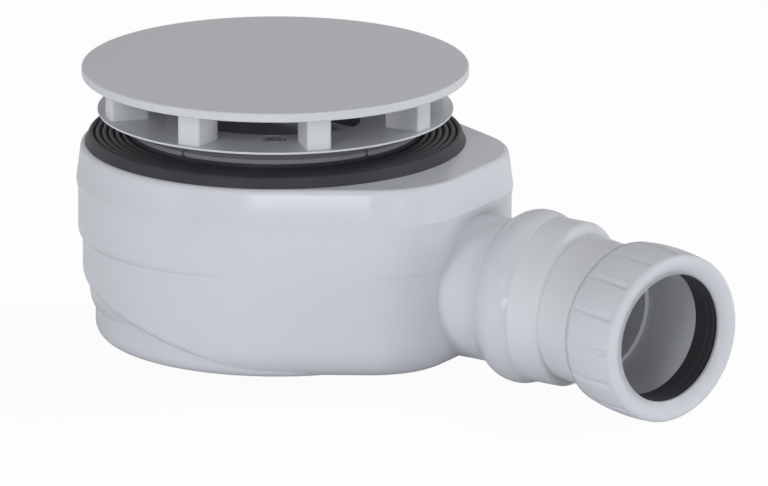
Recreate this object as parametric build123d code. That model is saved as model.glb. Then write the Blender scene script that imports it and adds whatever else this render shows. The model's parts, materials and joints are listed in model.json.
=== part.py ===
from build123d import *
import math
import os

# A low shower trap for a 90 mm tray hole and a 38 mm waste pipe, in millimetres.
# The origin is on the axis of the inlet, in the plane of the base, with +Z up.
# +X is the way the neck of the outlet leaves the body.

# Body: a pear-shaped tank, widest at the weld between its two halves
band_radius = 58.65
lobe_reach = 40.0
lobe_half_width = 11.5
lobe_radius = 29.7
seam_swell = 0.5
seam_swell_height = 3.2
seam_height = 47.8
deck_taper = 1.4
deck_rise = 11.0
deck_height = seam_height + deck_rise
deck_thickness = 3.0
deck_rounding = 1.6
wall = 2.6

# Drum of the lower half, stepped inwards from the seam to the foot; its lower steps sit towards the outlet
drum_shift = 0.85
band_underside = 29.75
band_rounding = 3.55
middle_step = 0.6
middle_radius = band_radius - middle_step
middle_lobe_step = 0.3
middle_lobe_radius = lobe_radius - middle_lobe_step
middle_underside = 7.9
middle_tilt = 13.0
middle_rounding = 2.6
tank_bottom_rounding = 11.5
plinth_step = 2.1
plinth_radius = middle_radius - plinth_step
plinth_underside = 8.0
plinth_tilt = -4.2
plinth_rounding = 9.0
foot_step = 1.65
foot_radius = plinth_radius - foot_step
foot_rounding = 4.5

# Radii of the inlet, from the deck's inner edge to the dip tube in the middle
deck_width = 16.85
mouth_radius = band_radius - deck_width
mouth_clearance = 0.4
skirt_radius = mouth_radius - mouth_clearance
screw_channel = 3.8
throat_radius = skirt_radius - wall - screw_channel - wall
dip_tube_clearance = 0.3
dip_rim_width = 3.8
dip_tube_radius = throat_radius - dip_tube_clearance - dip_rim_width

# Lift-out dip tube
dip_tube_wall = 3.1
dip_tube_bottom = 11.0
dip_rim_height = 2.4
dip_grip_angle = -15.0
dip_grip_thickness = 2.6
dip_grip_depth = 15.0
dip_grip_drop = 0.5
dip_ring_section = 0.98
dip_ring_play = 0.07

# Weir between the water chamber and the outlet chamber
weir_gap = 7.7
weir_distance = dip_tube_radius + weir_gap
weir_drop = 6.8
weir_height = seam_height - weir_drop
weir_thickness = 2.4

# Shelf in the body's mouth, which takes the flange
shelf_drop = 4.0
shelf_height = deck_height - shelf_drop
shelf_thickness = 3.0
shelf_bore_clearance = 2.1
shelf_bore = dip_tube_radius + shelf_bore_clearance

# Rubber seal between deck and tray
tray_seal_margin = 2.05
tray_seal_outer = band_radius - tray_seal_margin
tray_seal_inset = 0.3
tray_seal_inner = mouth_radius + tray_seal_inset
tray_seal_rim = 1.8
tray_seal_height = 3.2
tray_seal_draft = 0.9
tray_seal_ridges = 6
tray_seal_groove = 1.1

# Flange above the tray
collar_lift = 1.0
collar_bottom = deck_height + tray_seal_height + collar_lift
collar_height = 1.2
collar_top = collar_bottom + collar_height
collar_overhang = 2.3
collar_radius = skirt_radius + collar_overhang
flange_rise = 4.7
flange_height = collar_top + flange_rise
flange_reach = 9.1
flange_radius = collar_radius + flange_reach
flange_edge = 0.55
flange_plate = 2.4
ledge_drop = 6.1
ledge_height = flange_height - ledge_drop
ledge_thickness = 2.2
ledge_bore = dip_tube_radius + dip_tube_clearance
collar_notch_width = 1.6
collar_notch_depth = 0.7
collar_notch_angle = 38.0

# Screws that pull the flange down
screw_count = 3
screw_first_angle = 60.0
screw_inset = 5.2
screw_circle = mouth_radius - screw_inset
screw_radius = 1.95
screw_length = 24.0
screw_tip = 3.9
screw_head_radius = 2.9
screw_head_height = 1.7
screw_head_rounding = 1.1
screw_head_sink = 1.4
screw_seat_flare = 1.1
screw_boss_radius = 4.5
screw_boss_depth = 14.0
screw_clearance = 0.1
screw_recess_span = 3.7
screw_recess_width = 0.9
screw_recess_depth = 0.9

# Cover plate on its posts
cover_overhang = 4.7
cover_radius = flange_radius + cover_overhang
cover_rise = 13.1
cover_height = flange_height + cover_rise
cover_thickness = 2.8
cover_rounding = 0.5
post_count = 8
post_inset = 1.5
post_outer = flange_radius - post_inset
post_depth = 11.9
post_width = 7.4
post_rounding = 1.0

# Pipe that the outlet takes, and the water's way to it
pipe_radius = 19.0
pipe_clearance = 0.3
pipe_stop = 1.1
waterway_radius = pipe_radius - pipe_stop

# Outlet neck and its ring-seal socket, on an axis that falls gently away from the body
neck_wall = 3.6
neck_radius = waterway_radius + neck_wall
neck_crown = 0.1
outlet_axis_height = seam_height + neck_crown - neck_radius
outlet_fall = 2.3
neck_end = 80.0
neck_blend = 4.0
socket_length = 13.2
socket_mouth = neck_end + socket_length
socket_step = 4.4
socket_bore = waterway_radius + socket_step
socket_depth = 10.6
socket_stop = socket_mouth - socket_depth
socket_rim = 2.3
socket_mouth_radius = socket_bore + socket_rim
socket_groove_depth = 1.6
socket_groove_radius = socket_bore + socket_groove_depth
socket_groove_width = 5.4
socket_groove_end = socket_mouth - wall
socket_groove_start = socket_groove_end - socket_groove_width
socket_belly_wall = 2.05
socket_belly_radius = socket_groove_radius + socket_belly_wall
socket_belly_back = 4.2
socket_belly = socket_mouth - socket_belly_back
spigot_clearance = 0.3

# Angled tailpiece
tailpiece_turn = -18.4
bend_distance = 7.1
tailpiece_bend = socket_mouth + bend_distance
collar_ring_width = 11.4
collar_ring_end = socket_mouth + collar_ring_width
collar_ring_rounding = 2.6
pipe_socket_radius = pipe_radius + pipe_clearance
pipe_socket_depth = 20.8
tailpiece_wall = 2.5
tailpiece_radius = pipe_socket_radius + tailpiece_wall
thread_height = 0.8
thread_radius = tailpiece_radius + thread_height
thread_length = 13.5

# Compression nut with its rubber and washer; the nut's mouth is measured from the bend
nut_mouth = 46.2
nut_length = 20.4
nut_thread_gap = 0.3
nut_wall = 2.8
nut_radius = thread_radius + nut_thread_gap + nut_wall
nut_crest = 11.2
nut_rear_drop = 0.9
nut_rear_radius = nut_radius - nut_rear_drop
nut_front_drop = 0.4
nut_front_radius = nut_radius - nut_front_drop
nut_face_rounding = 1.8
nut_groove_count = 15
nut_groove_phase = 2.0
nut_groove_depth = 0.3
nut_groove_radius = 1.5
nut_groove_start = 3.0
nut_lip = 2.0
nut_lip_clearance = 0.3
nut_lip_radius = pipe_radius + nut_lip_clearance
washer_thickness = 0.6
pipe_rubber_length = 9.1
pipe_rubber_clearance = 0.2
pipe_rubber_radius = pipe_radius + pipe_rubber_clearance
pipe_rubber_taper = 0.8
seating_gap = 0.05


def pear_outline(radius, lobe, shift=0.0):
    """Outline of the tank: the round drum and two corner lobes inside one skin."""
    drum = Pos(shift, 0) * Circle(radius)
    lobes = [Pos(lobe_reach, side * lobe_half_width) * Circle(lobe) for side in (1, -1)]
    return make_hull([shape.edge() for shape in (drum, *lobes)])


def pear_block(radius, lobe, low, high, rounding, shift=0.0):
    """Upright block on the tank's outline, with its lower edge rounded."""
    block = extrude(pear_outline(radius, lobe, shift), high - low)
    return Pos(0, 0, low) * fillet(block.edges().group_by(Axis.Z)[0], rounding)


def pear_taper(swell_low, low, swell_high, high):
    """Block that follows the band's outline, swollen by one amount at its foot and another at its top."""
    sections = [
        Pos(0, 0, height) * pear_outline(band_radius + swell, lobe_radius + swell)
        for swell, height in ((swell_low, low), (swell_high, high))
    ]
    return loft(sections, ruled=True)


def cut_below(block, height, tilt, rounding):
    """Block without what lies below a plane that tilts about Y, with its new lower edge rounded."""
    block -= Pos(0, 0, height) * Rot(0, tilt, 0) * Box(
        body_span, body_span, body_span, align=(Align.CENTER, Align.CENTER, Align.MAX)
    )
    return fillet(block.faces().sort_by(Axis.Z)[0].edges(), rounding)


def round_block(radius, height, tilt, high, rounding):
    """Upright disc of the lower drum, with a tilted underside and its lower edge rounded."""
    block = extrude(Pos(drum_shift, 0) * Circle(radius), high, both=True)
    return cut_below(block, height, tilt, rounding)


def turned(points):
    """Solid of revolution about Z from (radius, height) corners."""
    profile = make_face(Polyline([(r, 0, z) for r, z in points], close=True))
    return revolve(profile, Axis.Z)


def ring(outer, inner, low, high):
    """Plain ring about Z."""
    return turned([(inner, low), (outer, low), (outer, high), (inner, high)])


middle_rise = math.tan(math.radians(middle_tilt)) * middle_radius
middle_clear = middle_underside + middle_rise + middle_rounding
band_clear = band_underside + band_rounding
body_span = 4 * band_radius

outlet_frame = Plane(
    origin=(0, 0, outlet_axis_height),
    x_dir=(math.cos(math.radians(outlet_fall)), 0, -math.sin(math.radians(outlet_fall))),
    z_dir=(math.sin(math.radians(outlet_fall)), 0, math.cos(math.radians(outlet_fall))),
)
bend_frame = outlet_frame * Pos(tailpiece_bend, 0, 0) * Rot(0, 0, tailpiece_turn)

screw_spots = [
    Rot(0, 0, screw_first_angle + 360 / screw_count * i) * Pos(screw_circle, 0, 0)
    for i in range(screw_count)
]


def along(frame, curve):
    """Solid of revolution about the X axis of a frame, from a closed curve of (x, r) in its XY plane."""
    return frame * revolve(make_face(curve), Axis.X)


def along_corners(frame, points):
    """Solid of revolution about the X axis of a frame, from (x, r) corners."""
    return along(frame, Polyline(points, close=True))


def rod(frame, start, end, radius):
    """Plain round bar on the X axis of a frame."""
    return along_corners(frame, [(start, 0), (end, 0), (end, radius), (start, radius)])


def middle_block():
    """Middle of the drum: its underside rises away from the outlet, and the lobes round down to the base."""
    level = pear_block(middle_radius, middle_lobe_radius, 0, band_clear, tank_bottom_rounding, drum_shift)
    upright = extrude(pear_outline(middle_radius, middle_lobe_radius, drum_shift), band_clear, both=True)
    return level & cut_below(upright, middle_underside, middle_tilt, middle_rounding)


def tank_outside():
    """Whole outside of the lower half, without the neck."""
    tank = pear_block(band_radius, lobe_radius, band_underside, seam_height, band_rounding)
    tank += pear_taper(0, seam_height - seam_swell_height, seam_swell, seam_height)
    tank += middle_block()
    tank += round_block(plinth_radius, plinth_underside, plinth_tilt, middle_clear, plinth_rounding)
    return tank + round_block(foot_radius, 0, 0, middle_clear, foot_rounding)


def tank_inside():
    """Room inside the lower half, a wall's thickness within each step."""
    lobe = middle_lobe_radius - wall
    room = pear_block(plinth_radius - wall, lobe, wall, seam_height, tank_bottom_rounding - wall, drum_shift)
    room += pear_block(middle_radius - wall, lobe, middle_clear, seam_height, wall, drum_shift)
    return room + pear_block(band_radius - wall, lobe_radius - wall, band_clear, seam_height, wall)


def neck_outer():
    """Neck with the belly of the ring-seal socket, running back into the tank's wall."""
    root = lobe_reach
    belly = ThreePointArc(
        (neck_end, neck_radius), (socket_belly, socket_belly_radius), (socket_mouth, socket_mouth_radius)
    )
    outline = Polyline(
        (socket_mouth, socket_mouth_radius), (socket_mouth, 0), (root, 0), (root, neck_radius),
        (neck_end, neck_radius),
    )
    profile = make_face(belly + outline)
    corner = profile.vertices().sort_by_distance((neck_end, neck_radius, 0))[0]
    return outlet_frame * revolve(fillet(corner, neck_blend), Axis.X)


def neck_inner():
    """Waterway, spigot bore and seal groove of the neck."""
    way = rod(outlet_frame, lobe_reach, socket_mouth, waterway_radius)
    bore = rod(outlet_frame, socket_stop, socket_mouth, socket_bore)
    groove = rod(outlet_frame, socket_groove_start, socket_groove_end, socket_groove_radius)
    return way + bore + groove


def lower_tank():
    """Lower half of the body: tank, weir, neck and socket in one moulding."""
    inside = tank_inside()
    weir = inside & (
        Pos(weir_distance, 0, 0)
        * Box(weir_thickness, body_span, weir_height, align=(Align.MIN, Align.CENTER, Align.MIN))
    )
    tank = tank_outside() + neck_outer() - inside
    return tank + weir - neck_inner()


def upper_deck():
    """Upper half of the body: sloping skirt, deck, mouth, shelf and screw bosses."""
    outside = pear_taper(seam_swell, seam_height, seam_swell - deck_taper, deck_height)
    outside = fillet(outside.edges().group_by(Axis.Z)[-1], deck_rounding)
    inside = pear_taper(
        seam_swell - wall, seam_height, seam_swell - deck_taper - wall, deck_height - deck_thickness
    )
    deck = outside - inside
    shelf_under = shelf_height - shelf_thickness
    deck += ring(mouth_radius + wall, shelf_bore, shelf_under, deck_height)
    for spot in screw_spots:
        deck += spot * Pos(0, 0, shelf_under - screw_boss_depth) * extrude(
            Circle(screw_boss_radius), screw_boss_depth
        )
    mouth = extrude(Circle(mouth_radius), deck_height - shelf_height)
    deck -= Pos(0, 0, shelf_height) * mouth
    hole = extrude(Circle(screw_radius + screw_clearance), -screw_length)
    for spot in screw_spots:
        deck -= spot * Pos(0, 0, shelf_height) * hole
    return deck


def tray_seal():
    """Flat rubber ring with concentric ridges on its upper face and a rim under the flange's collar."""
    low = deck_height
    high = deck_height + tray_seal_height
    top_outer = tray_seal_outer - tray_seal_draft
    rim_outer = tray_seal_inner + tray_seal_rim
    pitch = (top_outer - rim_outer) / tray_seal_ridges
    points = [(tray_seal_inner, low), (tray_seal_outer, low), (top_outer, high)]
    for i in range(tray_seal_ridges - 1):
        edge = top_outer - pitch * i
        points += [
            (edge - pitch / 2, high),
            (edge - pitch * 3 / 4, high - tray_seal_groove),
            (edge - pitch, high),
        ]
    points += [(rim_outer, high), (rim_outer, collar_bottom), (tray_seal_inner, collar_bottom)]
    return turned(points)


def waste_flange():
    """Flange with a thin lip over the tray, a skirt on the body's shelf and a throat for the dip tube."""
    skirt_inner = skirt_radius - wall
    throat_outer = throat_radius + wall
    plate_under = flange_height - flange_plate
    ledge_under = ledge_height - ledge_thickness
    flange = turned([
        (throat_radius, flange_height),
        (flange_radius, flange_height),
        (flange_radius, flange_height - flange_edge),
        (collar_radius, collar_top),
        (collar_radius, collar_bottom),
        (skirt_radius, collar_bottom),
        (skirt_radius, shelf_height),
        (skirt_inner, shelf_height),
        (skirt_inner, plate_under),
        (throat_outer, plate_under),
        (throat_outer, ledge_under),
        (ledge_bore, ledge_under),
        (ledge_bore, ledge_height),
        (throat_radius, ledge_height),
    ])
    boss = extrude(Circle(screw_boss_radius), plate_under - shelf_height)
    bosses = Part() + [spot * Pos(0, 0, shelf_height) * boss for spot in screw_spots]
    flange += bosses - extrude(Circle(throat_radius), flange_height)
    seat = Pos(0, 0, flange_height - screw_head_sink) * screw_seat()
    for spot in screw_spots:
        flange -= spot * seat
    notch = Pos(collar_radius, 0, collar_bottom) * Box(
        2 * collar_notch_depth, collar_notch_width, 2 * (collar_top - collar_bottom)
    )
    for i in range(screw_count):
        for side in (1, -1):
            flange -= Rot(0, 0, screw_first_angle + 360 / screw_count * i + side * collar_notch_angle) * notch
    return flange


def screw_seat():
    """Flared seat for one screw head and the hole for its shank, with the seat's floor at the origin."""
    floor = screw_head_radius + screw_clearance
    flare = [(0, 0), (floor, 0), (floor + screw_seat_flare, screw_head_sink), (0, screw_head_sink)]
    return turned(flare) + extrude(Circle(screw_radius + screw_clearance), -screw_length)


def flange_screws():
    """Pan-head screws with a cross recess, one solid each."""
    head = extrude(Circle(screw_head_radius), screw_head_height)
    head = fillet(head.edges().group_by(Axis.Z)[-1], screw_head_rounding)
    shank = turned([
        (0, 0), (screw_radius, 0), (screw_radius, screw_tip - screw_length), (0, -screw_length),
    ])
    arm = Box(screw_recess_span, screw_recess_width, 2 * screw_recess_depth)
    screw = head + shank - Pos(0, 0, screw_head_height) * (arm + Rot(0, 0, 90) * arm)
    seat = flange_height - screw_head_sink
    return [spot * Pos(0, 0, seat) * screw for spot in screw_spots]


def dip_tube():
    """Tube that hangs in the flange's throat, with a grip wall across its mouth."""
    rim_radius = throat_radius - dip_tube_clearance
    rim_top = ledge_height + dip_rim_height
    bore = dip_tube_radius - dip_tube_wall
    ring_height = ledge_height - ledge_thickness / 2
    groove_half = dip_ring_section + dip_ring_play
    groove_floor = ledge_bore - 2 * groove_half
    tube = turned([
        (bore, dip_tube_bottom),
        (dip_tube_radius, dip_tube_bottom),
        (dip_tube_radius, ring_height - groove_half),
        (groove_floor, ring_height - groove_half),
        (groove_floor, ring_height + groove_half),
        (dip_tube_radius, ring_height + groove_half),
        (dip_tube_radius, ledge_height),
        (rim_radius, ledge_height),
        (rim_radius, rim_top),
        (bore, rim_top),
    ])
    grip_top = flange_height - dip_grip_drop
    grip = Pos(0, 0, grip_top) * Box(
        2 * rim_radius, dip_grip_thickness, dip_grip_depth, align=(Align.CENTER, Align.CENTER, Align.MAX)
    )
    grip &= extrude(Circle(rim_radius), flange_height) - ring(
        throat_radius, (bore + groove_floor) / 2, dip_tube_bottom, ledge_height
    )
    return tube + Rot(0, 0, dip_grip_angle) * grip


def dip_tube_ring():
    """Rubber ring in the dip tube's groove."""
    centre = ledge_bore - dip_ring_play - dip_ring_section
    return Pos(0, 0, ledge_height - ledge_thickness / 2) * Torus(centre, dip_ring_section)


def top_cover():
    """Round cover plate with eight posts moulded under it."""
    disc = extrude(Circle(cover_radius), cover_thickness)
    disc = fillet(disc.edges(), cover_rounding)
    under = cover_height - cover_thickness
    footprint = RectangleRounded(post_depth, post_width, post_rounding)
    post = extrude(footprint, under - flange_height + cover_thickness / 2)
    cover = Pos(0, 0, under) * disc
    for i in range(post_count):
        cover += Rot(0, 0, 360 / post_count * i) * Pos(post_outer - post_depth / 2, 0, flange_height) * post
    return cover


def socket_seal():
    """Rubber ring in the socket's belly, with a lip on the spigot."""
    start = socket_groove_start + seating_gap
    end = socket_groove_end - seating_gap
    outer = socket_groove_radius - seating_gap
    lip = socket_bore - spigot_clearance + seating_gap
    root = (lip + outer) / 2
    middle = (start + end) / 2
    return along_corners(
        outlet_frame,
        [(start, lip), (middle, lip), (middle, root), (end, root), (end, outer), (start, outer)],
    )


def tailpiece():
    """Spigot, rounded collar and turned tube, with the socket for the pipe."""
    spigot_radius = socket_bore - spigot_clearance
    spigot_start = socket_stop + spigot_clearance
    spigot = rod(outlet_frame, spigot_start, socket_mouth, spigot_radius)
    shoulder = socket_mouth_radius - collar_ring_rounding
    turn = math.sqrt(0.5) * collar_ring_rounding
    round_edge = ThreePointArc(
        (collar_ring_end - collar_ring_rounding, socket_mouth_radius),
        (collar_ring_end - collar_ring_rounding + turn, shoulder + turn),
        (collar_ring_end, shoulder),
    )
    sides = Polyline(
        (collar_ring_end, shoulder), (collar_ring_end, 0), (socket_mouth, 0),
        (socket_mouth, socket_mouth_radius), (collar_ring_end - collar_ring_rounding, socket_mouth_radius),
    )
    collar = along(outlet_frame, round_edge + sides)
    tube_end = nut_mouth - nut_lip - washer_thickness - pipe_rubber_length
    tube = rod(bend_frame, 0, tube_end, tailpiece_radius)
    thread = rod(bend_frame, tube_end - thread_length, tube_end, thread_radius)
    solid = spigot + collar + tube + thread
    solid -= rod(outlet_frame, spigot_start, tailpiece_bend, waterway_radius)
    solid -= rod(bend_frame, 0, tube_end, waterway_radius)
    solid -= bend_frame * Sphere(waterway_radius)
    solid -= rod(bend_frame, tube_end - pipe_socket_depth, tube_end, pipe_socket_radius)
    return solid


def compression_nut():
    """Barrel-shaped nut with a rounded face and fine grip grooves."""
    back = nut_mouth - nut_length
    shoulder = nut_mouth - nut_face_rounding
    face_edge = nut_front_radius - nut_face_rounding
    turn = math.sqrt(0.5) * nut_face_rounding
    inner = thread_radius + nut_thread_gap
    barrel = ThreePointArc(
        (back, nut_rear_radius), (nut_mouth - nut_crest, nut_radius), (shoulder, nut_front_radius)
    )
    round_edge = ThreePointArc(
        (shoulder, nut_front_radius), (shoulder + turn, face_edge + turn), (nut_mouth, face_edge)
    )
    sides = Polyline(
        (nut_mouth, face_edge), (nut_mouth, nut_lip_radius), (nut_mouth - nut_lip, nut_lip_radius),
        (nut_mouth - nut_lip, inner), (back, inner), (back, nut_rear_radius),
    )
    nut = along(bend_frame, barrel + round_edge + sides)
    lift = nut_groove_radius - nut_groove_depth
    groove_end = (nut_mouth - nut_groove_start, -nut_front_radius - lift)
    groove_path = ThreePointArc(
        (back - nut_groove_radius, -nut_rear_radius - lift),
        (nut_mouth - nut_crest, -nut_radius - lift),
        groove_end,
    )
    groove_section = Plane(groove_path @ 0, z_dir=groove_path % 0) * Circle(nut_groove_radius)
    cutter = sweep(groove_section, path=groove_path) + Pos(*groove_end) * Sphere(nut_groove_radius)
    for i in range(nut_groove_count):
        nut -= bend_frame * Rot(nut_groove_phase + 360 / nut_groove_count * i, 0, 0) * cutter
    return nut


def slip_washer():
    """Thin washer between the nut's lip and the rubber."""
    front = nut_mouth - nut_lip
    outer = thread_radius
    return along_corners(
        bend_frame,
        [(front - washer_thickness, nut_lip_radius), (front, nut_lip_radius), (front, outer),
         (front - washer_thickness, outer)],
    )


def pipe_rubber():
    """Tapered rubber that grips the pipe."""
    front = nut_mouth - nut_lip - washer_thickness
    back = front - pipe_rubber_length
    outer = thread_radius
    return along_corners(
        bend_frame,
        [(back, pipe_rubber_radius), (front, pipe_rubber_radius), (front, outer),
         (back, outer - pipe_rubber_taper)],
    )


nodes = {
    "lower_tank": lower_tank(),
    "upper_deck": upper_deck(),
    "tray_seal": tray_seal(),
    "waste_flange": waste_flange(),
    "flange_screws": Compound(children=flange_screws()),
    "dip_tube": dip_tube(),
    "dip_tube_ring": dip_tube_ring(),
    "top_cover": top_cover(),
    "socket_seal": socket_seal(),
    "tailpiece": tailpiece(),
    "compression_nut": compression_nut(),
    "slip_washer": slip_washer(),
    "pipe_rubber": pipe_rubber(),
}

os.makedirs("parts", exist_ok=True)
for name, shape in nodes.items():
    export_step(shape, f"parts/{name}.step")
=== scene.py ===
"""Low shower trap: finishes, finer pieces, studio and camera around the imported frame."""

import json
import logging
import math
from dataclasses import dataclass, replace
from enum import Enum
from functools import cached_property

import bmesh
import bpy
from bmesh.types import BMesh
from bpy.types import ID, Material, NodeSocket, Object, ShaderNode, ShaderNodeTree
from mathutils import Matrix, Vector


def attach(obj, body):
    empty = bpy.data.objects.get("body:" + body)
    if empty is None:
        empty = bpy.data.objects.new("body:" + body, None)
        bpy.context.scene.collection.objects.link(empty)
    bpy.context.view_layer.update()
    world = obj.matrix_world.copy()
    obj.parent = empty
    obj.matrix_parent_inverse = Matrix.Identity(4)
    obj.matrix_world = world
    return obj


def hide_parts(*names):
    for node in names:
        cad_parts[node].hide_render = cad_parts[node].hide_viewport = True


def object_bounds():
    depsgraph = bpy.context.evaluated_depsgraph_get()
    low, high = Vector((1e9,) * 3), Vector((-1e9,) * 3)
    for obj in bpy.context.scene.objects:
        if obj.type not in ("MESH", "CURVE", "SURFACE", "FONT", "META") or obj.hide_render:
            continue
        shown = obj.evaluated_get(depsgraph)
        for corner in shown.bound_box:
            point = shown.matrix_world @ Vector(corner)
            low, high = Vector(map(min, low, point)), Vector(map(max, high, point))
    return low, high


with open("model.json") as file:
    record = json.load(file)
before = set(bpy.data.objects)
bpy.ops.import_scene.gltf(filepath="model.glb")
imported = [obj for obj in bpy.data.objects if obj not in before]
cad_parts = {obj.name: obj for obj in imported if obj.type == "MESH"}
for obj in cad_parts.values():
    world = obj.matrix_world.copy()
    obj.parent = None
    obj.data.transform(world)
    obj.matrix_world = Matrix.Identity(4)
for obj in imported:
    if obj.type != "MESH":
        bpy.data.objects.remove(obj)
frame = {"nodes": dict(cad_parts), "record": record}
CAD_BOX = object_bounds()

LOG = logging.getLogger("shower_trap")
MM = 0.001
MERGE = 0.002 * MM
SHARP_EDGE = math.radians(40.0)
WHITE = (1.0, 1.0, 1.0, 1.0)
PIPE_SOCKET = next(mount for mount in frame["record"]["mounts"] if mount["name"] == "pipe_socket")
Triple = tuple[float, float, float]


class Body(Enum):
    """Rigid bodies of the frame."""

    ROOT = "root"


class Slot(Enum):
    """Material slots of the record that new pieces stand for."""

    BODY = "body_plastic"
    RUBBER = "seal_rubber"


class Socket(Enum):
    """Kinds of socket that the node groups have."""

    VECTOR = "NodeSocketVector"
    FLOAT = "NodeSocketFloat"
    COLOUR = "NodeSocketColor"


def new_group(name: str, inputs: dict[str, Socket], outputs: dict[str, Socket]) -> ShaderNodeTree:
    """Make an empty node group with named sockets.

    Args:
        name: Name of the group.
        inputs: Its inputs and their kinds.
        outputs: Its outputs and their kinds.

    Returns:
        The group, with an input node named in and an output node named out.
    """
    tree = bpy.data.node_groups.new(name, "ShaderNodeTree")
    for way, sockets in (("INPUT", inputs), ("OUTPUT", outputs)):
        for socket, kind in sockets.items():
            tree.interface.new_socket(socket, in_out=way, socket_type=kind.value)
    tree.nodes.new("NodeGroupInput").name = "in"
    tree.nodes.new("NodeGroupOutput").name = "out"
    return tree


def math_node(
    tree: ShaderNodeTree, operation: str, first: NodeSocket, second: NodeSocket, clamp: bool = False
) -> NodeSocket:
    """Add a math node fed by two sockets.

    Args:
        tree: Where it goes.
        operation: What it does.
        first: Socket that feeds its first input.
        second: Socket that feeds its second input.
        clamp: Whether the result is kept between 0 and 1.

    Returns:
        Its output.
    """
    node = tree.nodes.new("ShaderNodeMath")
    node.operation, node.use_clamp = operation, clamp
    tree.links.new(first, node.inputs[0])
    tree.links.new(second, node.inputs[1])
    return node.outputs["Value"]


def noise_node(
    tree: ShaderNodeTree, place: NodeSocket, scale: NodeSocket, detail: float, dimensions: str = "3D"
) -> ShaderNode:
    """Add a noise texture.

    Args:
        tree: Where it goes.
        place: Socket with the position.
        scale: Socket with the scale.
        detail: Its detail.
        dimensions: 3D, or 1D for a position along a line.

    Returns:
        The texture's node.
    """
    node = tree.nodes.new("ShaderNodeTexNoise")
    node.noise_dimensions = dimensions
    node.inputs["Detail"].default_value = detail
    tree.links.new(place, node.inputs["W" if dimensions == "1D" else "Vector"])
    tree.links.new(scale, node.inputs["Scale"])
    return node


def stretch_node(tree: ShaderNodeTree, value: NodeSocket, low: float, high: float) -> ShaderNode:
    """Add a node that stretches a span of values to the span from 0 to 1, or another that it is given.

    Args:
        tree: Where it goes.
        value: Socket with the values.
        low: Start of the span.
        high: End of the span.

    Returns:
        The node, with its result in Result.
    """
    node = tree.nodes.new("ShaderNodeMapRange")
    node.inputs["From Min"].default_value = low
    node.inputs["From Max"].default_value = high
    tree.links.new(value, node.inputs["Value"])
    return node


def mix_node(tree: ShaderNodeTree, share: NodeSocket) -> ShaderNode:
    """Add a node that mixes two colours.

    Args:
        tree: Where it goes.
        share: Socket with the share of the second colour.

    Returns:
        The node, with the colours in A and B.
    """
    node = tree.nodes.new("ShaderNodeMix")
    node.data_type = "RGBA"
    tree.links.new(share, node.inputs["Factor"])
    return node


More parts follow.
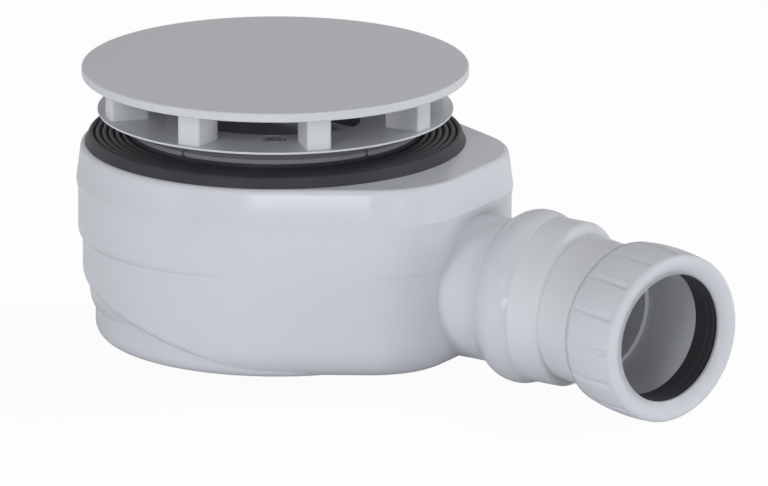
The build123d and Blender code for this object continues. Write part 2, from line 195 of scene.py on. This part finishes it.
class EffectGroups:
    """Shader node groups that several finishes share, each built once."""

    @cached_property
    def mould_grain(self) -> ShaderNodeTree:
        """Fine spark-eroded texture of a mould, with small changes in its gloss.

        Returns:
            Group with Height and Gloss outputs.
        """
        tree = new_group(
            "mould_grain",
            {"Vector": Socket.VECTOR, "Grain Scale": Socket.FLOAT, "Gloss Scale": Socket.FLOAT,
             "Gloss Low": Socket.FLOAT, "Gloss High": Socket.FLOAT},
            {"Height": Socket.FLOAT, "Gloss": Socket.FLOAT},
        )
        given, result, links = tree.nodes["in"].outputs, tree.nodes["out"].inputs, tree.links
        fine = noise_node(tree, given["Vector"], given["Grain Scale"], detail=4.0)
        fine.inputs["Roughness"].default_value = 0.6
        gloss = noise_node(tree, given["Vector"], given["Gloss Scale"], detail=2.0)
        spread = stretch_node(tree, gloss.outputs["Fac"], low=0.35, high=0.65)
        links.new(given["Gloss Low"], spread.inputs["To Min"])
        links.new(given["Gloss High"], spread.inputs["To Max"])
        links.new(fine.outputs["Fac"], result["Height"])
        links.new(spread.outputs["Result"], result["Gloss"])
        return tree

    @cached_property
    def tone_drift(self) -> ShaderNodeTree:
        """Slow drift between two tones, as pigment mixes unevenly in a moulding.

        Returns:
            Group with a Color output.
        """
        tree = new_group(
            "tone_drift",
            {"Vector": Socket.VECTOR, "Scale": Socket.FLOAT, "Tone": Socket.COLOUR, "Drift": Socket.COLOUR},
            {"Color": Socket.COLOUR},
        )
        given, links = tree.nodes["in"].outputs, tree.links
        cloud = noise_node(tree, given["Vector"], given["Scale"], detail=3.0)
        spread = stretch_node(tree, cloud.outputs["Fac"], low=0.3, high=0.7)
        blend = mix_node(tree, spread.outputs["Result"])
        links.new(given["Tone"], blend.inputs["A"])
        links.new(given["Drift"], blend.inputs["B"])
        links.new(blend.outputs["Result"], tree.nodes["out"].inputs["Color"])
        return tree

    @cached_property
    def barrel(self) -> ShaderNodeTree:
        """Slight barrel of a wall, which turns more upright the further it lies below a height.

        Returns:
            Group with a Height output in metres.
        """
        tree = new_group(
            "barrel",
            {"Vector": Socket.VECTOR, "Top": Socket.FLOAT, "Bend": Socket.FLOAT},
            {"Height": Socket.FLOAT},
        )
        given = tree.nodes["in"].outputs
        split = tree.nodes.new("ShaderNodeSeparateXYZ")
        tree.links.new(given["Vector"], split.inputs["Vector"])
        below = math_node(tree, "SUBTRACT", given["Top"], split.outputs["Z"])
        square = math_node(tree, "MULTIPLY", below, below)
        height = math_node(tree, "MULTIPLY", square, given["Bend"])
        tree.links.new(height, tree.nodes["out"].inputs["Height"])
        return tree

    @cached_property
    def below(self) -> ShaderNodeTree:
        """Mask of what lies below a height and outside a radius, with a soft upper edge; it places painted
        shade.

        Returns:
            Group with a Mask output.
        """
        tree = new_group(
            "below",
            {"Vector": Socket.VECTOR, "Height": Socket.FLOAT, "Edge": Socket.FLOAT, "Radius": Socket.FLOAT},
            {"Mask": Socket.FLOAT},
        )
        given, links = tree.nodes["in"].outputs, tree.links
        split = tree.nodes.new("ShaderNodeSeparateXYZ")
        level = tree.nodes.new("ShaderNodeVectorMath")
        level.operation = "MULTIPLY"
        level.inputs[1].default_value = (1.0, 1.0, 0.0)
        reach = tree.nodes.new("ShaderNodeVectorMath")
        reach.operation = "LENGTH"
        links.new(given["Vector"], split.inputs["Vector"])
        links.new(given["Vector"], level.inputs[0])
        links.new(level.outputs["Vector"], reach.inputs[0])
        depth = math_node(tree, "SUBTRACT", given["Height"], split.outputs["Z"])
        share = math_node(tree, "DIVIDE", depth, given["Edge"], clamp=True)
        outside = math_node(tree, "GREATER_THAN", reach.outputs["Value"], given["Radius"])
        links.new(math_node(tree, "MULTIPLY", share, outside), tree.nodes["out"].inputs["Mask"])
        return tree

    @cached_property
    def axis_lines(self) -> ShaderNodeTree:
        """Fine uneven rings across an axis, painted highlight standing in for the glints along fine ridges.

        Returns:
            Group with a Mask output.
        """
        tree = new_group(
            "axis_lines",
            {"Vector": Socket.VECTOR, "Axis": Socket.VECTOR, "Lines": Socket.FLOAT},
            {"Mask": Socket.FLOAT},
        )
        given = tree.nodes["in"].outputs
        along = tree.nodes.new("ShaderNodeVectorMath")
        along.operation = "DOT_PRODUCT"
        tree.links.new(given["Vector"], along.inputs[0])
        tree.links.new(given["Axis"], along.inputs[1])
        rings = noise_node(tree, along.outputs["Value"], given["Lines"], detail=2.0, dimensions="1D")
        peaks = stretch_node(tree, rings.outputs["Fac"], low=0.5, high=0.75)
        tree.links.new(peaks.outputs["Result"], tree.nodes["out"].inputs["Mask"])
        return tree


@dataclass
class MaterialNodes:
    """Nodes of one material, to which the parts of a finish add theirs.

    Attributes:
        tree: The material's node tree.
        place: Socket with the position on the object.
        effects: Shared node groups.
    """

    tree: ShaderNodeTree
    place: NodeSocket
    effects: EffectGroups

    def effect(self, group: ShaderNodeTree, values: dict[str, float | tuple[float, ...]]) -> ShaderNode:
        """Put a shared group into the material.

        Args:
            group: The group.
            values: What its inputs other than the position are set to.

        Returns:
            The group's node.
        """
        node = self.tree.nodes.new("ShaderNodeGroup")
        node.node_tree = group
        for name, value in values.items():
            node.inputs[name].default_value = value
        self.tree.links.new(self.place, node.inputs["Vector"])
        return node

    def bump(self, height: NodeSocket, distance: float) -> ShaderNode:
        """Add a bump node.

        Args:
            height: Socket with the height.
            distance: Metres that a height of 1 stands for.

        Returns:
            The bump node.
        """
        node = self.tree.nodes.new("ShaderNodeBump")
        node.inputs["Distance"].default_value = distance
        self.tree.links.new(height, node.inputs["Height"])
        return node


@dataclass(frozen=True)
class Drift:
    """Slow drift from a finish's main colour towards another.

    Attributes:
        tone: The other colour.
        scale: Spots of drift to a metre.
    """

    tone: Triple
    scale: float

    def colour(self, main: Triple, nodes: MaterialNodes) -> NodeSocket:
        """Add the drift to a material, from the main colour, and return the socket with the colour."""
        values = {"Scale": self.scale, "Tone": (*main, 1.0), "Drift": (*self.tone, 1.0)}
        return nodes.effect(nodes.effects.tone_drift, values).outputs["Color"]


@dataclass(frozen=True)
class Rings:
    """Fine lighter rings across an axis, painted highlight standing in for the glints along fine ridges.

    Attributes:
        tone: Colour on the rings.
        axis: Direction that the rings lie across.
        lines: Rings to a metre.
    """

    tone: Triple
    axis: Triple
    lines: float

    def colour(self, main: Triple, nodes: MaterialNodes) -> NodeSocket:
        """Add the painted highlight rings to a material.

        Args:
            main: The finish's main colour.
            nodes: Nodes of the material.

        Returns:
            Socket with the colour.
        """
        rings = nodes.effect(nodes.effects.axis_lines, {"Axis": self.axis, "Lines": self.lines})
        blend = mix_node(nodes.tree, rings.outputs["Mask"])
        blend.inputs["A"].default_value = (*main, 1.0)
        blend.inputs["B"].default_value = (*self.tone, 1.0)
        return blend.outputs["Result"]


@dataclass(frozen=True)
class PaintedUnderShade:
    """Painted shade: darker colour below a height and outside a radius, standing in for the shadow under a
    lip.

    Attributes:
        tone: The colour of the painted shade.
        height: The height in metres.
        radius: The radius in metres.
        edge: Width of the soft upper edge in metres.
    """

    tone: Triple
    height: float
    radius: float
    edge: float

    def colour(self, main: NodeSocket, nodes: MaterialNodes) -> NodeSocket:
        """Add the painted shade to a material.

        Args:
            main: Socket with the colour elsewhere.
            nodes: Nodes of the material.

        Returns:
            Socket with the colour.
        """
        # Painted shade: the darker colour is mixed in below the height and outside the radius.
        values = {"Height": self.height, "Edge": self.edge, "Radius": self.radius}
        blend = mix_node(nodes.tree, nodes.effect(nodes.effects.below, values).outputs["Mask"])
        blend.inputs["B"].default_value = (*self.tone, 1.0)
        nodes.tree.links.new(main, blend.inputs["A"])
        return blend.outputs["Result"]


@dataclass(frozen=True)
class Barrel:
    """Slight barrel of a wall.

    Attributes:
        top: Height in metres at which the wall keeps its own slope.
        bend: How strongly the wall below turns upright, to a metre.
    """

    top: float
    bend: float

    def normal(self, nodes: MaterialNodes) -> NodeSocket:
        """Add the barrel to a material and return the socket with the turned normal."""
        barrel = nodes.effect(nodes.effects.barrel, {"Top": self.top, "Bend": self.bend})
        return nodes.bump(barrel.outputs["Height"], distance=1.0).outputs["Normal"]


@dataclass(frozen=True)
class Grain:
    """Fine texture of a surface and the changes of its gloss.

    Attributes:
        scale: Grains to a metre.
        height: Height of the grain in metres.
        gloss_low: Roughness where the surface is smoothest.
        gloss_high: Roughness where it is dullest.
        gloss_scale: Changes of gloss to a metre.
    """

    scale: float
    height: float
    gloss_low: float
    gloss_high: float
    gloss_scale: float

    def add(self, nodes: MaterialNodes) -> tuple[NodeSocket, ShaderNode]:
        """Add the grain to a material.

        Args:
            nodes: Nodes of the material.

        Returns:
            Socket with the roughness, and the bump node of the grain.
        """
        grain = nodes.effect(nodes.effects.mould_grain, {
            "Grain Scale": self.scale, "Gloss Scale": self.gloss_scale,
            "Gloss Low": self.gloss_low, "Gloss High": self.gloss_high,
        })
        return grain.outputs["Gloss"], nodes.bump(grain.outputs["Height"], self.height)


@dataclass(frozen=True)
class Finish:
    """A surface finish that varies over the piece it is on.

    Attributes:
        name: Name of the material.
        tone: Main colour.
        pattern: How the colour varies.
        grain: Texture and gloss.
        metallic: 1 for bare metal.
        barrel: Barrel of the walls, if any.
        under: Painted shade on the underside, if any.
    """

    name: str
    tone: Triple
    pattern: Drift | Rings
    grain: Grain
    metallic: float = 0.0
    barrel: Barrel | None = None
    under: PaintedUnderShade | None = None

    def material(self, effects: EffectGroups) -> Material:
        """Build the material.

        Args:
            effects: Shared node groups.

        Returns:
            Material with colour, roughness and grain from its nodes.
        """
        made = bpy.data.materials.new(self.name)
        made.use_nodes = True
        tree = made.node_tree
        place = tree.nodes.new("ShaderNodeTexCoord").outputs["Object"]
        nodes = MaterialNodes(tree, place, effects)
        colour = self.pattern.colour(self.tone, nodes)
        # Painted shade: darker colour under a lip, where its shadow falls.
        if self.under:
            colour = self.under.colour(colour, nodes)
        roughness, bump = self.grain.add(nodes)
        if self.barrel:
            tree.links.new(self.barrel.normal(nodes), bump.inputs["Normal"])
        shader = tree.nodes["Principled BSDF"]
        shader.inputs["Metallic"].default_value = self.metallic
        tree.links.new(colour, shader.inputs["Base Color"])
        tree.links.new(roughness, shader.inputs["Roughness"])
        tree.links.new(bump.outputs["Normal"], shader.inputs["Normal"])
        return made


TANK_PLASTIC = Finish(
    "tank_plastic", (0.545, 0.556, 0.588), Drift((0.536, 0.547, 0.579), scale=18.0),
    Grain(scale=2600.0, height=0.006 * MM, gloss_low=0.19, gloss_high=0.22, gloss_scale=700.0),
)
DECK_PLASTIC = replace(TANK_PLASTIC, name="deck_plastic", barrel=Barrel(top=58.8 * MM, bend=6.0))
# The flange carries painted shade under its lip, standing in for the shadow between the lip and the seal.
FLANGE_PLASTIC = replace(
    TANK_PLASTIC, name="flange_plastic",
    under=PaintedUnderShade((0.215, 0.213, 0.235), height=68.2 * MM, radius=40.0 * MM, edge=0.3 * MM),
)
TAILPIECE_PLASTIC = replace(
    TANK_PLASTIC, name="tailpiece_plastic", tone=(0.580, 0.590, 0.618),
    pattern=Drift((0.570, 0.580, 0.608), scale=18.0),
)
COVER_PLASTIC = Finish(
    "cover_plastic", (0.545, 0.552, 0.578), Drift((0.536, 0.543, 0.569), scale=14.0),
    Grain(scale=3000.0, height=0.008 * MM, gloss_low=0.30, gloss_high=0.33, gloss_scale=700.0),
)
WASHER_PLASTIC = Finish(
    "washer_plastic", (0.600, 0.600, 0.600), Drift((0.560, 0.560, 0.560), scale=60.0),
    Grain(scale=3000.0, height=0.01 * MM, gloss_low=0.3, gloss_high=0.4, gloss_scale=900.0),
)
SEAL_RUBBER = Finish(
    "seal_rubber", (0.027, 0.026, 0.032), Drift((0.037, 0.036, 0.043), scale=60.0),
    Grain(scale=3400.0, height=0.02 * MM, gloss_low=0.42, gloss_high=0.5, gloss_scale=900.0),
)
# Painted highlight: lighter rings across the pipe socket's axis stand in for glints on the rubber.
PIPE_RUBBER = Finish(
    "pipe_rubber", (0.028, 0.027, 0.031),
    Rings((0.062, 0.061, 0.066), axis=tuple(PIPE_SOCKET["axis"]), lines=900.0),
    Grain(scale=3400.0, height=0.02 * MM, gloss_low=0.41, gloss_high=0.49, gloss_scale=850.0),
)
SCREW_STEEL = Finish(
    "screw_steel", (0.76, 0.76, 0.75), Drift((0.68, 0.68, 0.67), scale=260.0),
    Grain(scale=5200.0, height=0.004 * MM, gloss_low=0.28, gloss_high=0.36, gloss_scale=1500.0),
    metallic=1.0,
)


class FinishShelf:
    """Keeps one material for each finish."""

    def __init__(self, effects: EffectGroups) -> None:
        """Start an empty shelf with the shared node groups."""
        self._effects = effects
        self._made: dict[str, Material] = {}

    def get(self, finish: Finish) -> Material:
        """Return the material of a finish, building it on first use.

        Args:
            finish: The finish.

        Returns:
            Its material.
        """
        if finish.name not in self._made:
            self._made[finish.name] = finish.material(self._effects)
        return self._made[finish.name]


def add_object(name: str, data: ID) -> Object:
    """Make an object of a mesh, lamp or camera and link it to the scene.

    Args:
        name: Name of the object.
        data: Its mesh, lamp or camera.

    Returns:
        The object.
    """
    made = bpy.data.objects.new(name, data)
    bpy.context.scene.collection.objects.link(made)
    return made


def place_piece(name: str, bm: BMesh, material: Material, slot: Slot, *nodes: str) -> Object:
    """Make an object of a finished bmesh and join it to the frame.

    Args:
        name: Name of the piece.
        bm: Its shape, which is freed.
        material: Its material.
        slot: The record's slot that the finish stands for; not used.
        nodes: CAD nodes that the piece stands for.

    Returns:
        The piece, riding on the root body.
    """
    mesh = bpy.data.meshes.new(name)
    bm.to_mesh(mesh)
    bm.free()
    mesh.shade_smooth()
    mesh.set_sharp_from_angle(angle=SHARP_EDGE)
    mesh.materials.append(material)
    piece = add_object(name, mesh)
    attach(piece, Body.ROOT.value)
    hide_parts(*nodes)
    LOG.info("piece %s with %d faces", name, len(mesh.polygons))
    return piece


@dataclass(frozen=True)
class CarriedParts:
    """CAD parts that keep their mesh and get a finish.

    Attributes:
        label: Name of the sub-assembly in the log.
        finishes: CAD node to finish.
    """

    label: str
    finishes: dict[str, Finish]

    def dress(self, shelf: FinishShelf) -> None:
        """Give each part its finish.

        Args:
            shelf: Where the materials are kept.
        """
        for node, finish in self.finishes.items():
            for slot in frame["nodes"][node].material_slots:
                slot.material = shelf.get(finish)
            LOG.info("%s: %s in %s", self.label, node, finish.name)


@dataclass
class TraySeal:
    """Rubber ring on the deck, with rounded concentric ridges and a rim under the flange.

    Attributes:
        inner: Inner radius in millimetres.
        rim: Outer radius of the rim.
        outer: Outer radius at the deck.
        crown: Outer radius at the top.
        foot: Height of the deck.
        top: Height of the ridges.
        rim_top: Height of the rim.
        ridges: Number of ridges.
        groove: Depth of the grooves between them.
        fullness: Power of the sine that rounds a ridge; the smaller, the fuller.
        points: Points along one ridge.
        steps: Steps of the ring round its axis.
    """

    inner: float = 42.1
    rim: float = 43.9
    outer: float = 56.6
    crown: float = 55.7
    foot: float = 58.8
    top: float = 62.0
    rim_top: float = 63.0
    ridges: int = 6
    groove: float = 1.1
    fullness: float = 0.7
    points: int = 10
    steps: int = 180

    def profile(self) -> list[tuple[float, float]]:
        """Outline of the section, from the inner foot over the rim and the ridges to the outer foot.

        Returns:
            Closed list of radius and height pairs in millimetres.
        """
        pitch = (self.crown - self.rim) / self.ridges
        line = [(self.inner, self.foot), (self.inner, self.rim_top), (self.rim, self.rim_top)]
        for i in range(self.ridges * self.points + 1):
            share = i / self.points
            crest = abs(math.sin(math.pi * share)) ** self.fullness
            line.append((self.rim + pitch * share, self.top - self.groove * (1.0 - crest)))
        line.append((self.outer, self.foot))
        return line

    def build(self, shelf: FinishShelf) -> Object:
        """Turn the section round the axis and put the ring in place of the CAD part.

        Args:
            shelf: Where the materials are kept.

        Returns:
            The finished ring.
        """
        bm = bmesh.new()
        line = [bm.verts.new((r * MM, 0.0, z * MM)) for r, z in self.profile()]
        edges = [bm.edges.new((line[i - 1], line[i])) for i in range(len(line))]
        bmesh.ops.spin(
            bm, geom=[*line, *edges], cent=(0, 0, 0), axis=(0, 0, 1), angle=2 * math.pi, steps=self.steps,
            use_merge=True, use_duplicate=False,
        )
        bmesh.ops.remove_doubles(bm, verts=bm.verts, dist=MERGE)
        bmesh.ops.recalc_face_normals(bm, faces=bm.faces)
        return place_piece("ridged_tray_seal", bm, shelf.get(SEAL_RUBBER), Slot.RUBBER, "tray_seal")


@dataclass
class DishedNut:
    """Compression nut whose face falls inwards from its rounded rim to the mouth.

    Attributes:
        rim: Radius in millimetres at which the face begins to fall.
        lip: Radius of the mouth, which is the pipe socket's.
        dish: How far the mouth lies behind the rim.
        slack: How far from the rim's plane a point still counts as on it.
    """

    rim: float = 23.5
    lip: float = PIPE_SOCKET["dims"]["r_mm"]
    dish: float = 1.8
    slack: float = 0.05

    def build(self, shelf: FinishShelf) -> Object:
        """Copy the nut, push its face in and put the copy in place of the CAD part.

        Args:
            shelf: Where the materials are kept.

        Returns:
            The finished nut.
        """
        source = frame["nodes"]["compression_nut"]
        bm = bmesh.new()
        bm.from_mesh(source.data)
        bm.transform(source.matrix_world)
        bmesh.ops.remove_doubles(bm, verts=bm.verts, dist=MERGE)
        axis = Vector(PIPE_SOCKET["axis"]).normalized()
        mouth = Vector(PIPE_SOCKET["pos_m"]) + axis * (PIPE_SOCKET["dims"]["length_mm"] / 2 * MM)
        for vert in bm.verts:
            out = (vert.co - mouth).dot(axis)
            radius = (vert.co - mouth - axis * out).length / MM
            if abs(out) < self.slack * MM and radius < self.rim:
                fall = self.dish * (self.rim - radius) / (self.rim - self.lip)
                bmesh.ops.translate(bm, verts=[vert], vec=axis * (-fall * MM))
        bmesh.ops.recalc_face_normals(bm, faces=bm.faces)
        return place_piece("dished_nut", bm, shelf.get(TANK_PLASTIC), Slot.BODY, "compression_nut")


def way_out(azimuth: float, elevation: float) -> Vector:
    """Direction away from the object.

    Args:
        azimuth: Turn in degrees from -Y towards +X.
        elevation: Height above the horizon in degrees.

    Returns:
        Vector of length 1.
    """
    turn, rise = math.radians(azimuth), math.radians(elevation)
    return Vector((math.sin(turn) * math.cos(rise), -math.cos(turn) * math.cos(rise), math.sin(rise)))


def aim_back(made: Object, away: Vector) -> None:
    """Turn a lamp or camera so that it looks against a direction."""
    made.rotation_mode = "QUATERNION"
    made.rotation_quaternion = (-away).to_track_quat("-Z", "Y")


@dataclass(frozen=True)
class Softbox:
    """A square lamp that faces the object.

    Attributes:
        name: Name of the lamp.
        turn: Its turn round the object from the camera's, in degrees.
        rise: Its height above the horizon in degrees.
        distance: Distance from the object in metres.
        size: Side of the square in metres.
        power: Power in watts.
        mirrored: Whether glossy surfaces show it.
    """

    name: str
    turn: float
    rise: float
    distance: float
    size: float
    power: float
    mirrored: bool = False


@dataclass
class Studio:
    """White sweep, soft light and the camera at the photograph's angle.

    Attributes:
        azimuth: Camera's turn round the object in degrees.
        elevation: Camera's height above the horizon in degrees.
        lens: Focal length in millimetres; long, so that the view is nearly parallel.
        sensor: Sensor width in millimetres.
        picture_width: Width of the picture in pixels.
        pixels_per_mm: Scale of the picture at the object.
        aim_right: How far right of the origin the picture's centre lies, in metres.
        aim_up: How far above the origin it lies, in metres.
        near: Nearest distance that the camera shows, in metres.
        far: Furthest distance that it shows.
        floor_size: Side of the floor in metres.
        floor_tone: Colour of the floor.
        floor_roughness: Roughness of the floor.
        floor_glow: Share of plain white in what the camera sees of the floor.
        sky: Colours of the sky from the horizon to the zenith, each with the sine of its height.
        front_level: Strength of the sky in front.
        back_level: Strength of the sky behind.
        side_span: How far to either side of the camera's left and right the two levels blend.
        room_level: Strength of the room that surfaces mirror.
        lamp_colour: Colour of the softboxes.
        softboxes: The lamps.
    """

    azimuth: float = 30.0
    elevation: float = 15.1
    lens: float = 1000.0
    sensor: float = 36.0
    picture_width: float = 768.0
    pixels_per_mm: float = 3.36
    aim_right: float = 32.23 * MM
    aim_up: float = 26.22 * MM
    near: float = 0.1
    far: float = 60.0
    floor_size: float = 12.0
    floor_tone: Triple = (0.94, 0.95, 0.96)
    floor_roughness: float = 0.9
    floor_glow: float = 0.95
    sky: tuple[tuple[float, Triple], ...] = (
        (0.0, (0.480, 0.490, 0.500)), (0.34, (0.310, 0.315, 0.320)), (0.7, (0.270, 0.270, 0.271)),
        (1.0, (0.271, 0.269, 0.271)),
    )
    front_level: float = 1.0
    back_level: float = 0.9
    side_span: float = 0.5
    room_level: float = 0.5
    lamp_colour: Triple = (0.97, 0.985, 1.0)
    softboxes: tuple[Softbox, ...] = (
        Softbox("front_softbox", turn=-8.0, rise=0.0, distance=2.2, size=0.5, power=5.2, mirrored=True),
        Softbox("camera_softbox", turn=-22.0, rise=26.0, distance=2.5, size=0.7, power=13.5),
        Softbox("mouth_softbox", turn=32.0, rise=5.0, distance=2.0, size=0.4, power=7.5),
        Softbox("left_softbox", turn=-62.0, rise=5.0, distance=2.0, size=0.4, power=13.0),
        Softbox("right_softbox", turn=68.0, rise=5.0, distance=2.0, size=0.4, power=9.5),
        Softbox("back_softbox", turn=110.0, rise=45.0, distance=2.0, size=0.9, power=15.0),
    )

    def camera(self) -> None:
        """Add the camera and make it the scene's."""
        turn = math.radians(self.azimuth)
        right = Vector((math.cos(turn), math.sin(turn), 0.0))
        back = way_out(self.azimuth, self.elevation)
        aim = right * self.aim_right + back.cross(right) * self.aim_up
        width = self.picture_width / self.pixels_per_mm * MM
        data = bpy.data.cameras.new("camera")
        data.lens, data.sensor_width = self.lens, self.sensor
        data.clip_start, data.clip_end = self.near, self.far
        camera = add_object("camera", data)
        camera.location = aim + back * (width * self.lens / self.sensor)
        aim_back(camera, back)
        bpy.context.scene.camera = camera

    def lamp(self, box: Softbox) -> None:
        """Add a softbox that faces the object.

        Args:
            box: The softbox.
        """
        away = way_out(self.azimuth + box.turn, box.rise)
        data = bpy.data.lights.new(box.name, "AREA")
        data.shape, data.size, data.energy, data.color = "SQUARE", box.size, box.power, self.lamp_colour
        lamp = add_object(box.name, data)
        lamp.location = away * box.distance
        aim_back(lamp, away)
        lamp.visible_camera = False
        lamp.visible_glossy = box.mirrored

    def world(self) -> None:
        """Sky that is brightest low in front, even for reflections and white for the camera."""
        world = bpy.data.worlds.new("surround")
        world.use_nodes = True
        bpy.context.scene.world = world
        nodes, links = world.node_tree.nodes, world.node_tree.links
        sky = nodes["Background"]
        self.sky_light(world.node_tree, sky)
        room = nodes.new("ShaderNodeBackground")
        room.inputs["Color"].default_value = WHITE
        room.inputs["Strength"].default_value = self.room_level
        white = nodes.new("ShaderNodeBackground")
        white.inputs["Color"].default_value = WHITE
        path = nodes.new("ShaderNodeLightPath")
        mirrored = nodes.new("ShaderNodeMixShader")
        links.new(path.outputs["Is Glossy Ray"], mirrored.inputs["Fac"])
        links.new(sky.outputs["Background"], mirrored.inputs[1])
        links.new(room.outputs["Background"], mirrored.inputs[2])
        seen = nodes.new("ShaderNodeMixShader")
        links.new(path.outputs["Is Camera Ray"], seen.inputs["Fac"])
        links.new(mirrored.outputs["Shader"], seen.inputs[1])
        links.new(white.outputs["Background"], seen.inputs[2])
        links.new(seen.outputs["Shader"], nodes["World Output"].inputs["Surface"])

    def sky_light(self, tree: ShaderNodeTree, sky: ShaderNode) -> None:
        """Drive the sky's colour by height and its strength by the side that it lies on.

        Args:
            tree: Nodes of the world.
            sky: Background node of the sky.
        """
        way = tree.nodes.new("ShaderNodeTexCoord")
        split = tree.nodes.new("ShaderNodeSeparateXYZ")
        height = tree.nodes.new("ShaderNodeValToRGB")
        stops = height.color_ramp.elements
        stops.remove(stops[1])
        for spot, colour in self.sky:
            stop = stops[0] if spot == 0.0 else stops.new(spot)
            stop.color = (*colour, 1.0)
        front = tree.nodes.new("ShaderNodeVectorMath")
        front.operation = "DOT_PRODUCT"
        front.inputs[1].default_value = way_out(self.azimuth, 0.0)
        side = stretch_node(tree, front.outputs["Value"], low=-self.side_span, high=self.side_span)
        side.inputs["To Min"].default_value = self.back_level
        side.inputs["To Max"].default_value = self.front_level
        tree.links.new(way.outputs["Generated"], split.inputs["Vector"])
        tree.links.new(way.outputs["Generated"], front.inputs[0])
        tree.links.new(split.outputs["Z"], height.inputs["Fac"])
        tree.links.new(height.outputs["Color"], sky.inputs["Color"])
        tree.links.new(side.outputs["Result"], sky.inputs["Strength"])

    def floor(self) -> None:
        """Add the pale floor under the lowest point of the object."""
        bm = bmesh.new()
        bmesh.ops.create_grid(bm, x_segments=2, y_segments=2, size=self.floor_size / 2)
        bmesh.ops.translate(bm, verts=bm.verts, vec=(0, 0, CAD_BOX[0].z))
        mesh = bpy.data.meshes.new("floor")
        bm.to_mesh(mesh)
        bm.free()
        mesh.materials.append(self.floor_material())
        floor = add_object("floor", mesh)

    def floor_material(self) -> Material:
        """Pale floor that looks white to the camera and keeps a soft shadow.

        Returns:
            The floor's material.
        """
        made = bpy.data.materials.new("pale_floor")
        made.use_nodes = True
        nodes, links = made.node_tree.nodes, made.node_tree.links
        shader = nodes["Principled BSDF"]
        shader.inputs["Base Color"].default_value = (*self.floor_tone, 1.0)
        shader.inputs["Roughness"].default_value = self.floor_roughness
        shader.inputs["Specular IOR Level"].default_value = 0.0
        glow = nodes.new("ShaderNodeEmission")
        path = nodes.new("ShaderNodeLightPath")
        share = nodes.new("ShaderNodeMath")
        share.operation = "MULTIPLY"
        share.inputs[1].default_value = self.floor_glow
        blend = nodes.new("ShaderNodeMixShader")
        links.new(path.outputs["Is Camera Ray"], share.inputs[0])
        links.new(share.outputs["Value"], blend.inputs["Fac"])
        links.new(shader.outputs["BSDF"], blend.inputs[1])
        links.new(glow.outputs["Emission"], blend.inputs[2])
        links.new(blend.outputs["Shader"], nodes["Material Output"].inputs["Surface"])
        return made

    def build(self) -> None:
        """Set up light, floor and camera."""
        bpy.context.scene.view_settings.view_transform = "Standard"
        self.world()
        self.floor()
        for box in self.softboxes:
            self.lamp(box)
        self.camera()
        LOG.info("studio ready")


def main() -> None:
    """Dress the frame, add the finer pieces and set up the studio."""
    logging.basicConfig(level=logging.INFO, format="%(name)s: %(message)s")
    shelf = FinishShelf(EffectGroups())
    groups = [
        CarriedParts("inlet", {
            "top_cover": COVER_PLASTIC, "waste_flange": FLANGE_PLASTIC, "flange_screws": SCREW_STEEL,
            "dip_tube": TANK_PLASTIC, "dip_tube_ring": SEAL_RUBBER,
        }),
        CarriedParts("tank", {"lower_tank": TANK_PLASTIC, "upper_deck": DECK_PLASTIC}),
        CarriedParts("outlet", {
            "socket_seal": SEAL_RUBBER, "tailpiece": TAILPIECE_PLASTIC, "slip_washer": WASHER_PLASTIC,
            "pipe_rubber": PIPE_RUBBER,
        }),
    ]
    for group in groups:
        group.dress(shelf)
    TraySeal().build(shelf)
    DishedNut().build(shelf)
    Studio().build()
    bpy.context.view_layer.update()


if __name__ == "__main__":
    main()
